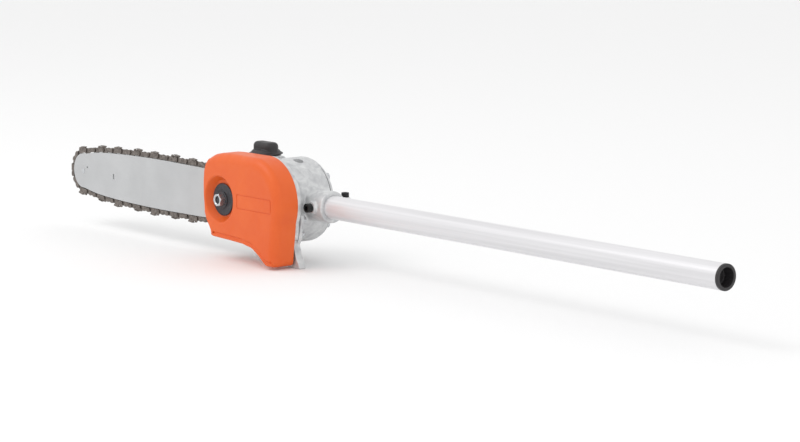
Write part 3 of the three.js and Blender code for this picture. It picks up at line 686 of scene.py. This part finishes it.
def place_parts(name, stations, parts, finish):
    """Sets parts down on stations (point, facing, kind); parts gives one prototype per kind."""
    groups = []
    for kind, part in enumerate(parts):
        data = bpy.data.meshes.new(name)
        data.from_pydata([to_row(point) for point, facing, kind_here in stations], [], [])
        facings = data.attributes.new("facing", "FLOAT_VECTOR", "POINT")
        facings.data.foreach_set("vector", [x for point, facing, kind_here in stations for x in facing])
        kinds = data.attributes.new("kind", "INT", "POINT")
        kinds.data.foreach_set("value", [kind_here for point, facing, kind_here in stations])
        group = bpy.data.objects.new(name, data)
        bpy.context.scene.collection.objects.link(group)
        part.data.transform(Matrix.Translation(-ORIGIN))
        values = {"Part": part, "Kind": kind, "Finish": MATERIALS[finish]}
        groups.append(run_tree(group, PLACING, values))
    for part in parts:
        bpy.data.objects.remove(part)
    return together(name, *groups)


# ------------------------------------------------------------------ sprocket cover
COVER_WALL = 2.6
POCKET = (-50, 0, 1)
POCKET_FLOOR = -16
POCKET_R = 26.2
POCKET_FLOOR_R = 20.8
STUD_BORE = 4.3
COVER_BEAD = 5.6


def pocket_shape(face):
    """The dish round the bar nut, its lip rolled out into the cover's face."""
    corners = [(0, face - 3), (33, face - 3), (33, face + 0.01), (POCKET_R, face + 0.01, 2.6),
               (POCKET_FLOOR_R, POCKET_FLOOR, 2.2), (0, POCKET_FLOOR)]
    return turned("pocket", rounded_profile(corners, 6), "Y", POCKET, 96)


def cover_rim(normal):
    """The face rolls softly into the top and rear, tighter at the front, and has a lip below."""
    if normal.y < -0.35:
        return 2.4
    return 4.5 if normal.x < -0.6 else 11


def panel_outline(inset, rounding):
    """The oblong panel behind the pocket, moved in from its edge."""
    return oblong(-16.5 + inset, 45.5 - inset, -5.5 + inset, 10.5 - inset, rounding)


def make_cover():
    face, base = COVER_LOW.y, COVER_HIGH.y
    outline = smoothed(section("sprocket_cover", face + 13), 1.0, 6)
    top = max(range(len(outline)), key=lambda i: outline[i][1])
    outline = outline[top:] + outline[:top]
    inner = grown(outline, -COVER_WALL)
    rim = rim_room(outline, cover_rim)
    cover = slab("sprocket_cover", outline, face, base, start_rim=(rim, 9), end_rim=0.6)
    inner_rim = (rim_room(inner, 8), 8)
    hollow = slab("hollow", inner, face + COVER_WALL + 0.6, base + 2, start_rim=inner_rim)
    back = POCKET_FLOOR + COVER_WALL
    dish_back = turned("dish_back", rounded_profile([
        (0, face - 1), (30, face - 1), (POCKET_R + COVER_WALL, face + 5),
        (POCKET_FLOOR_R + COVER_WALL, back, 2), (0, back)]), "Y", POCKET, 96)
    hollow = cut(hollow, dish_back, rod("boss", "Y", NUT_AXIS, 9, -24, -2.5, 48))
    bore = rod("bore", "Y", NUT_AXIS, STUD_BORE, -30, 6, 32)
    chain_way = slab("chain_way", [(-95, -40), (-66, -40), (-66, 43), (-95, 43)], -6.5, base + 2)
    panel = slab("panel", panel_outline(0, 2), face - 2, face + 0.45)
    island = slab("island", panel_outline(1, 1.2), face - 3, face + 2)
    panel = cut(panel, island)
    groove_path = [(p[0] - n.x * COVER_BEAD, face - 0.35, p[1] - n.y * COVER_BEAD)
                   for p, n in zip(outline, outward_normals(outline)) if n.y < -0.35 and p[1] < -38]
    groove = run_tree(wire_object("groove", groove_path), BEAD,
                      {"Radius": 1.5 * MM, "Sides": 12, "Finish": MATERIALS["orange_plastic"]})
    cover = cut(cover, hollow, pocket_shape(face), bore, chain_way, panel, groove)
    complete(cover, "orange_plastic", "head", "sprocket_cover", sharp=38)


# ------------------------------------------------------------------ bar nut, washer and stud
NUT_ACROSS = 13
NUT_TURNED = 12
THREAD_R = 3.97
THREAD_ROOT_R = 3.4
THREAD_PITCH = 1.25


def make_washer():
    low, high = span("bar_washer")
    washer = turned("bar_washer", rounded_profile([
        (STUD_BORE, high.y), (17.6, high.y, 0.3), (18.25, high.y - 0.8, 0.3),
        (18.25, low.y + 0.5, 0.5), (17.4, low.y, 0.3), (11.6, low.y, 0.2), (11.2, low.y + 0.35, 0.2),
        (10.4, low.y + 0.35, 0.2), (10, low.y, 0.2), (STUD_BORE, low.y)], 3), "Y", NUT_AXIS, 96)
    complete(washer, "dark_steel", "washer", "bar_washer")


def make_nut():
    low, high = span("bar_nut")
    outline = hexagon(NUT_AXIS.x, NUT_AXIS.z, NUT_ACROSS, NUT_TURNED)
    nut = slab("bar_nut", outline, low.y, low.y + 6.6)
    crown = turned("crown", [(0, low.y), (6.3, low.y), (7.6, low.y + 0.85), (7.6, high.y), (0, high.y)],
                   "Y", NUT_AXIS)
    nut = combine(nut, "INTERSECT", crown)
    flange = turned("nut_flange", rounded_profile([
        (5, high.y - 1.6), (6.6, high.y - 1.6), (9.2, high.y - 0.8, 0.3), (9.2, high.y, 0.3),
        (5, high.y)]), "Y", NUT_AXIS)
    # The flange takes the dark phosphated finish, not the nut's bright zinc: painted shade, darkening
    # the band behind the hex face where the nut's sides fall in shade and reflect dark.
    complete(flange, "dark_steel", "nut")
    bore = turned("bore", rounded_profile([
        (0, -30), (4.9, -30), (4.9, low.y), (4.25, low.y + 0.7), (4.25, -10), (0, -10)]),
        "Y", NUT_AXIS, 48)
    complete(cut(nut, bore), "zinc_steel", "nut", "bar_nut")


def make_stud():
    low, high = span("bar_stud")
    profile, place = [(0, low.y), (3.3, low.y)], low.y + 0.5
    while place < -6:
        profile += [(THREAD_R, place), (THREAD_R, place + 0.2), (THREAD_ROOT_R, place + 0.62)]
        place += THREAD_PITCH
    profile += [(THREAD_R, place), (THREAD_R, 2.6), (6, 2.6), (6, 5), (THREAD_R, 5),
                (THREAD_R, high.y), (0, high.y)]
    complete(turned("bar_stud", profile, "Y", NUT_AXIS, 32), "dark_steel", "head", "bar_stud")


# ------------------------------------------------------------------ gear housing and lid
def rod(name, axis, centre, radius, start, end, sides=40):
    return turned(name, [(0, start), (radius, start), (radius, end), (0, end)], axis, centre, sides)


def block(name, low, high):
    outline = [(low[0], low[2]), (high[0], low[2]), (high[0], high[2]), (low[0], high[2])]
    return slab(name, outline, low[1], high[1])


SPROCKET = (0, 0, 0)
BEARING_SEAT_R = 13.05
LOCK_X = 61
CLAMP_AXIS = (69, 59, 0)


def make_housing():
    outline = smoothed(section("gear_housing", 7), 1.0, 1)
    shaft = (0, SHAFT_Y, 0)
    plug = (PLUG_X, SHAFT_Y, 0)
    plug_head = PLUG_TOP - 2.7
    rim = slab("rim", outline, 3.2, 6)
    rim_inside = slab("rim_inside", grown(outline, -3.2), 2, 5)
    rim = cut(rim, rim_inside, block("chain_way", (-95, 2, -40), (-64, 5, 42)))
    pad = fillet([(-76, -26, 4), (-20, -18, 4), (-20, 18, 4), (-76, 26, 4)])
    drum = [(0, 5), (DRUM_R, 5), (DRUM_R, 58, 0.8), (0, 58)]
    socket = [(0, 20), (19.6, 36, 5), (17.5, 50, 8), (17.5, 75, 1.6), (0, 75)]
    lug = oblong(63, 74.6, -9, 9, 2)
    boss = [(0, 17.4), (7, 17.4, 1), (7.4, 30), (0, 30)]
    parts = [
        rim,
        slab("flange", outline, 5, 9, end_rim=1.0),
        slab("pad", pad, 2.3, 12, end_rim=1.5),
        turned("drum", rounded_profile(drum), "Y", SPROCKET, 128),
        turned("socket", rounded_profile(socket), "X", shaft, 96),
        slab("clamp_lug", lug, 50, 63.5, end_rim=1.5),
        turned("lock_boss", rounded_profile(boss), "Y", (LOCK_X, 0, 0)),
    ]
    housing = cast_together("gear_housing", 0.9, 5, *parts)
    cuts = [
        rod("chamber", "Y", SPROCKET, CHAMBER_R, 19, 60, 72),
        rod("front_seat", "Y", SPROCKET, BEARING_SEAT_R, 10.5, 20, 48),
        rod("seal_bore", "Y", SPROCKET, 11, 0, 11, 48),
        rod("pinion_seat", "X", shaft, BEARING_SEAT_R, 20, 48, 48),
        rod("circlip_groove", "X", shaft, 14, 44.6, 46.4, 48),
        rod("tube_bore", "X", shaft, TUBE_R + 0.1, 47, 77, 96),
        block("clamp_slit", (57, SHAFT_Y + 10, -0.8), (80, 70, 0.8)),
        rod("clamp_hole", "Z", CLAMP_AXIS, 2.7, -12, 12, 24),
        rod("lock_hole", "Y", (LOCK_X, 0, 0), 3.1, 15, 30, 24),
        rod("plug_hole", "Z", plug, 4.1, 20, plug_head, 24),
        rod("plug_mouth", "Z", plug, 5.5, plug_head - 0.3, 60, 48),
        rod("cap_room", "Z", CAP_AXIS, 19.5, span("oil_cap_seal")[0].z - 0.6, 70, 72),
        rod("stud_hole", "Y", NUT_AXIS, 4.2, 0, 12.5, 24),
        rod("stud_seat", "Y", NUT_AXIS, 6.2, 0, 5.2, 24),
        block("tension_way", (-62.3, 1, 10.1), (-32, 11.5, 20.7)),
        rod("tension_hole", "X", (0, 7.4, 15.4), 2.7, -82, -60, 24),
        rod("tension_mouth", "X", (0, 7.4, 15.4), 4.2, -92, -76, 24),
        rod("pump_bore", "X", (0, 7.2, -17), 4.8, -42, -14, 24),
        block("pump_mouth", (-42, 0, -21.8), (-14, 7.2, -12.2)),
    ]
    cuts += [rod("lid_hole", "Y", (x, 0, z), 2.7, 44, 60, 24) for x, z in LID_SCREWS]
    for x, z in HOOK_SCREWS + TANK_SCREWS:
        cuts.append(rod("side_hole", "Y", (x, 0, z), 2.3, 0, 14, 24))
    complete(cut(housing, *cuts), "cast_aluminium", "head", "gear_housing")


LID_FACE = GASKET_HIGH.y + 0.1
LID_HUB_R = 17.5


def make_lid():
    face, back = LID_FACE, span("housing_lid")[1].y
    rim_r = DRUM_R - 1.5
    lid = turned("housing_lid", rounded_profile([
        (0, back), (DRUM_R - 15, back - 0.4, 8), (DRUM_R - 5.5, back - 4, 4),
        (rim_r, face + 1.2, 1.2), (rim_r, face, 0.4), (LID_HUB_R, face, 0.5), (LID_HUB_R, 51.8),
        (BEARING_SEAT_R, 51.8), (BEARING_SEAT_R, 60.4), (0, 60.4)], 6), "Y", SPROCKET, 128)
    cuts = []
    for x, z in LID_SCREWS:
        cuts.append(rod("hole", "Y", (x, 0, z), 2.7, face - 2, back + 3, 24))
        cuts.append(rod("seat", "Y", (x, 0, z), 5.2, face + 4, back + 3, 32))
    complete(cut(lid, *cuts), "cast_aluminium", "head", "housing_lid")


# ------------------------------------------------------------------ oil tank and cap
NECK_OVERHANG = 2.8
TANK_WALL = 3.2


def make_tank():
    low, high = span("oil_tank")
    front = low.y + NECK_OVERHANG
    outline = smoothed(section("oil_tank", high.y - 1.3), 1.0, 2)
    top = max(z for x, z in outline)
    front_rim, back_rim = (rim_room(outline, 2), 2), (rim_room(outline, 4), 4)
    tank = slab("oil_tank", outline, front, high.y, start_rim=front_rim, end_rim=back_rim)
    collar = turned("collar", rounded_profile([
        (0, top - 6), (17.4, top - 6), (17, high.z, 0.6), (0, high.z)]), "Z", CAP_AXIS, 72)
    collar = cut(collar, rod("drum", "Y", SPROCKET, DRUM_R + 0.5, 0, 60, 96))
    tank = cast_together("oil_tank", 0.9, 4, tank, collar)
    wall = TANK_WALL
    hollow_low = (low.x + wall, front + 2.8, low.z + wall)
    hollow = block("hollow", hollow_low, (high.x, high.y - 2.8, top - wall))
    posts = [rod("drum_wall", "Y", SPROCKET, DRUM_R + 0.4 + wall, 0, 60, 96)]
    for x, z in TANK_SCREWS:
        side = 1 if z > 0 else -1
        inner, outer = z - side * 5, z + side * 14
        reach = [(x - 14, inner), (x + 4, inner), (x + 5, z), (x + 4, outer), (x - 14, outer)]
        posts.append(slab("post", reach, low.y, high.y))
    hollow = cut(hollow, *posts)
    throat = rod("throat", "Z", CAP_AXIS, 11.5, high.z - 12, high.z + 2, 48)
    holes = [rod("hole", "Y", (x, 0, z), 2.7, 8, 56, 24) for x, z in TANK_SCREWS]
    complete(cut(tank, hollow, throat, *holes), "cast_aluminium", "head", "oil_tank")


def make_oil_cap():
    low, high = span("oil_cap")
    under = high.z - 13.5
    skirt = turned("skirt", rounded_profile([
        (0, low.z), (10.8, low.z, 0.5), (11.3, low.z + 1.2, 0.5), (11.3, under, 0.3),
        (18.9, under, 0.4), (18.9, under + 1.3, 0.5), (16.8, under + 2.4, 1), (14.5, under + 5, 2),
        (0, under + 6)]), "Z", CAP_AXIS, 96)
    half_long, half_wide = 16.4, 8.4
    corners = [(CAP_AXIS.x + x * half_long, CAP_AXIS.y + y * half_wide, 7)
               for x, y in ((-1, -1), (1, -1), (1, 1), (-1, 1))]
    grip = slab("grip", fillet(corners, 8), under + 1, high.z, end_rim=(4.5, 5), axis="Z")
    cap = cast_together("oil_cap", 0.4, 4, skirt, grip)
    complete(cap, "black_plastic", "filler_cap", "oil_cap")


# ------------------------------------------------------------------ limb hook
def make_hook():
    low, high = span("limb_hook")
    plate = evenly(section("limb_hook", 7), 0.8)
    lugs = evenly(section("limb_hook", 12), 0.8)
    hook = cast_together(
        "limb_hook", 0.6, 3,
        slab("plate", plate, low.y, 10, start_rim=0.8),
        slab("lugs", lugs, 9.3, high.y, end_rim=(1.0, 1.2)),
    )
    holes = [rod("hole", "Y", (x, 0, z), 2.6, 3, 16, 24) for x, z in HOOK_SCREWS]
    complete(cut(hook, *holes), "cast_aluminium", "head", "limb_hook")


# ------------------------------------------------------------------ guide bar
BAR_GROOVE = 0.8


def make_bar(rail):
    core = slab("core", grown(rail, -6), -BAR_GROOVE - 0.1, BAR_GROOVE + 0.1)
    nose_room = rod("nose_room", "Y", (NOSE_X, 0, 0), 25.0, -1.5, 1.5, 96)
    slot = slab("slot", oblong(-76, -24, -4.25, 4.25, 4.2, 8), -4, 4)
    groove = cut(slab("groove", grown(rail, 1), -BAR_GROOVE, BAR_GROOVE), cut(core, nose_room))
    hub = rod("hub", "Y", (NOSE_X, 0, 0), 5, -1.2, 1.2, 48)
    bar = slab("guide_bar", rail, -BAR_HALF, BAR_HALF, start_rim=0.25, end_rim=0.25, steps=2)
    bar = cut(bar, groove)
    bar = combine(bar, "UNION", hub)
    holes = [rod("hole", "Y", (x, 0, z), radius, -4, 4, 32) for x, z, radius in (
        (-44, 15.4, 2.7), (-44, -15.4, 2.7), (-66, 20.5, 1.6), (-66, -20.5, 1.6),
        (NOSE_X, 0, 2.5), (-352, 5, 1.1))]
    eye = slab("eye", oblong(-296.6, -293.4, -4, 3, 1.5), -4, 4)
    complete(cut(bar, slot, eye, *holes), "bar_steel", "bar", "guide_bar")
    rivet = turned("nose_rivet", rounded_profile([
        (0, -2.38), (2.8, -2.35, 0.4), (3.6, -2.06, 0.1), (2.45, -2.06),
        (2.45, 2.06), (3.6, 2.06, 0.1), (2.8, 2.35, 0.4), (0, 2.38)]),
        "Y", (NOSE_X, 0, 0), 40)
    complete(rivet, "zinc_steel", "bar", "nose_rivet")


# ------------------------------------------------------------------ saw chain
PITCH = 9.525
RIVET_OVER_RAIL = 3.4
DRIVE_RIVET_R = PITCH / (2 * math.sin(math.pi / 12))
DRIVE_LINKS = 45
GAUGE = 0.55
STRAP = 1.35


def chain_rivets(rail):
    """Rivet centres round the bar and the drive sprocket, from the sprocket's rear over the top."""
    points = [Vector(p) for p in grown(rail, RIVET_OVER_RAIL) + circle(0, 0, DRIVE_RIVET_R, 240)]
    line = evenly([tuple(points[i]) for i in convex_hull_2d(points)], 0.04)
    first = math.pi / 12
    here = (DRIVE_RIVET_R * math.cos(first), DRIVE_RIVET_R * math.sin(first))
    i = min(range(len(line)), key=lambda k: math.dist(line[k], here))
    upper = [here]
    while len(upper) < DRIVE_LINKS:
        while math.dist(line[i % len(line)], here) < PITCH:
            i += 1
        here = line[i % len(line)]
        upper.append(here)
    return upper + [(x, -z) for x, z in reversed(upper)]


def link_plate(name, corners, start, end):
    """A stamped link: corners are (along, outward, radius); outward is down in the prototype."""
    outline = fillet([(s, -h, r) for s, h, r in corners], 3)
    return slab(name, outline, start, end, start_rim=0.18, end_rim=0.18, steps=1)


def drive_link():
    return link_plate("drive", [
        (-2.6, 2.4, 2.3), (12.1, 2.4, 2.3), (12.1, -2.4, 2.2), (6.6, -5.2, 1.5), (5.4, -7.5, 0.5),
        (4.2, -7.5, 0.4), (1.6, -3.4, 2), (-2.6, -2.4, 2.2)], -GAUGE, GAUGE)


def strap(side):
    near, far = sorted((side * GAUGE, side * (GAUGE + STRAP)))
    return link_plate("strap", [
        (-3, 2.7, 2.5), (1.6, 2.7, 1.4), (4.76, 1.5, 1.6), (7.9, 2.7, 1.4), (12.5, 2.7, 2.5),
        (12.5, -2.7, 2.4), (-3, -2.7, 2.4)], near, far)


def cutter(side):
    near, far = sorted((side * GAUGE, side * (GAUGE + STRAP)))
    plate = link_plate("cutter", [
        (-3, 4.2, 0.6), (5.0, 4.8, 0.3), (6.1, 1.6, 1.2), (8.6, 4.6, 0.9), (11.8, 4.5, 1.2),
        (12.5, 1.5, 1.2), (12.5, -2.7, 2.4), (-3, -2.7, 2.4)], near, far)
    bend = [(1.2, 2.6), (1.9, 2.6), (3.3, 4.0), (3.3, 5.2), (-0.2, 5.4), (-0.2, 4.5), (2.4, 4.4)]
    rings = [[(s, side * y, -h * lift) for y, h in bend] for s, lift in ((-2.9, 0.84), (5.2, 1.0))]
    return together("cutter", plate, skin("top_plate", rings))


def make_chain(rail):
    rivets = chain_rivets(rail)
    links, pins = [], []
    for i, here in enumerate(rivets):
        before = rivets[i - 1]
        facing = (0, math.atan2(before[1] - here[1], here[0] - before[0]), 0)
        kind = 0 if i % 2 == 0 else (2, 1, 3, 1)[(i - 1) // 2 % 4]
        links.append(((before[0], 0, before[1]), facing, kind))
        pins.append(((here[0], 0, here[1]), (0, 0, 0), 0))
    parts = [drive_link(), together("straps", strap(-1), strap(1)),
             together("left", cutter(-1), strap(1)), together("right", cutter(1), strap(-1))]
    rivet = turned("rivet", [(0, -2.3), (1.1, -2.25), (1.75, -1.9), (1.75, 1.9), (1.1, 2.25), (0, 2.3)],
                   "Y", (0, 0, 0), 10)
    chain = together("saw_chain", place_parts("links", links, parts, "chain_steel"),
                     place_parts("pins", pins, [rivet], "chain_steel"))
    complete(chain, "chain_steel", None, "saw_chain")
    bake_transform(chain)


# ------------------------------------------------------------------ tube, end cap, plug
def make_tube():
    shaft = (0, SHAFT_Y, 0)
    bore = TUBE_R - 1.6
    start, end = TUBE_LOW.x, TUBE_HIGH.x
    tube = turned("tube", [(bore, start), (TUBE_R, start), (TUBE_R, end), (bore, end)], "X", shaft, 96)
    complete(tube, "tube_aluminium", "head", "tube")
    low, high = span("tube_end_cap")
    lip = end + 0.05
    cap = turned("tube_end_cap", rounded_profile([
        (0, low.x), (bore - 0.3, low.x), (bore - 0.1, low.x + 2), (bore - 0.1, lip),
        (TUBE_R, lip, 0.2), (TUBE_R, high.x, 0.8), (9.4, high.x, 0.6), (9.2, lip - 9, 1),
        (0, lip - 9)]), "X", shaft, 96)
    complete(cap, "black_plastic", "end_cap", "tube_end_cap")
    low, high = span("grease_plug")
    plug = turned("grease_plug", rounded_profile([
        (0, low.z), (3.9, low.z), (3.9, high.z - 2.6), (5.2, high.z - 2.6), (5.2, high.z, 0.5),
        (0, high.z)]), "Z", (PLUG_X, SHAFT_Y, 0))
    plug = cut(plug, slab("key", hexagon(PLUG_X, SHAFT_Y, 5), high.z - 2, high.z + 1, axis="Z"))
    # The plug takes the near-black oxide finish, darker than phosphated steel: partly the plug's own
    # dark finish, partly painted shade for the recess round it.
    complete(plug, "black_screw", "head", "grease_plug")


# ------------------------------------------------------------------ socket-head screws
PLUS_Y = (-math.pi / 2, 0, 0)
MINUS_Y = (math.pi / 2, 0, 0)
PLUS_Z = (0, 0, 0)


def socket_screw(radius, head_radius, head_height, length):
    """Its head stands on z = 0 and its shank goes down."""
    screw = turned("screw", rounded_profile([
        (0, -length), (radius - 0.4, -length), (radius, -length + 0.5), (radius, 0),
        (head_radius, 0, 0.15), (head_radius, head_height, 0.55), (0, head_height)]),
        "Z", (0, 0, 0), 40)
    key = slab("key", hexagon(0, 0, head_radius * 0.98), head_height * 0.4, head_height + 1, axis="Z")
    return cut(screw, key)


def make_screws(name, nodes, seats, facing, sizes, finish):
    stations = [(seat, facing, 0) for seat in seats]
    screws = place_parts(name, stations, [socket_screw(*sizes)], finish)
    complete(screws, finish, "head", *nodes)


def make_all_screws():
    lid_seat = LID_FACE + 4.2
    make_screws("lid_screws", LID_SCREW_NODES,
                [(x, lid_seat, z) for x, z in LID_SCREWS], PLUS_Y, (2.5, 4.4, 5, 17), "zinc_steel")
    make_screws("tank_screws", TANK_SCREW_NODES,
                [(x, 50.1, z) for x, z in TANK_SCREWS], PLUS_Y, (2.1, 4.3, 4.5, 46), "zinc_steel")
    make_screws("hook_screws", HOOK_SCREW_NODES,
                [(x, 14.1, z) for x, z in HOOK_SCREWS], PLUS_Y, (2.1, 3.3, 4, 8), "zinc_steel")
    make_screws("lock_screw_piece", ["lock_screw"],
                [(LOCK_X, 17.2, 0)], MINUS_Y, (2.9, 5, 6, 7.9), "black_screw")
    clamp_seat = (CLAMP_AXIS[0], CLAMP_AXIS[1], 9.15)
    make_screws("clamp_screw_piece", ["clamp_screw"],
                [clamp_seat], PLUS_Z, (2.45, 4.25, 4.8, 17.8), "black_screw")


# ------------------------------------------------------------------ what keeps its CAD shape
def finish_cad_nodes():
    for node in frame["nodes"].values():
        slot = node.data.materials[0].name
        node.data.materials[0] = MATERIALS[slot]


def add_floor():
    half = 12
    corners = [(-half, -half, 0), (half, -half, 0), (half, half, 0), (-half, half, 0)]
    data = bpy.data.meshes.new("floor")
    data.from_pydata(corners, [], [(0, 1, 2, 3)])
    floor = bpy.data.objects.new("floor", data)
    bpy.context.scene.collection.objects.link(floor)
    material = bpy.data.materials.new("White_Studio_Floor")
    material.use_nodes = True
    shader = material.node_tree.nodes["Principled BSDF"]
    shader.inputs["Base Color"].default_value = hex_colour("f4f4f4")
    shader.inputs["Roughness"].default_value = 0.9
    data.materials.append(material)


def add_world():
    world = bpy.data.worlds.new("studio")
    world.use_nodes = True
    world.node_tree.nodes["Background"].inputs["Color"].default_value = (1, 1, 1, 1)
    world.node_tree.nodes["Background"].inputs["Strength"].default_value = 0.98
    bpy.context.scene.world = world
    bpy.context.scene.view_settings.view_transform = "Standard"


# ------------------------------------------------------------------ the scene
add_camera()
add_world()
add_area_light("key", (-0.9, -1.6, 2.2), (1.6, 1.2), 15)
add_area_light("fill", (2.2, -0.6, 1.2), (1.2, 1.6), 3)
MATERIALS = make_materials()
PLACING = placing_tree()
BEAD = bead_tree()
add_floor()
finish_cad_nodes()
make_cover()
make_washer()
make_nut()
make_stud()
make_housing()
make_lid()
make_tank()
make_oil_cap()
make_hook()
RAIL = smoothed(section("guide_bar", 1.4), 1.0, 3)
make_bar(RAIL)
make_chain(RAIL)
make_tube()
make_all_screws()
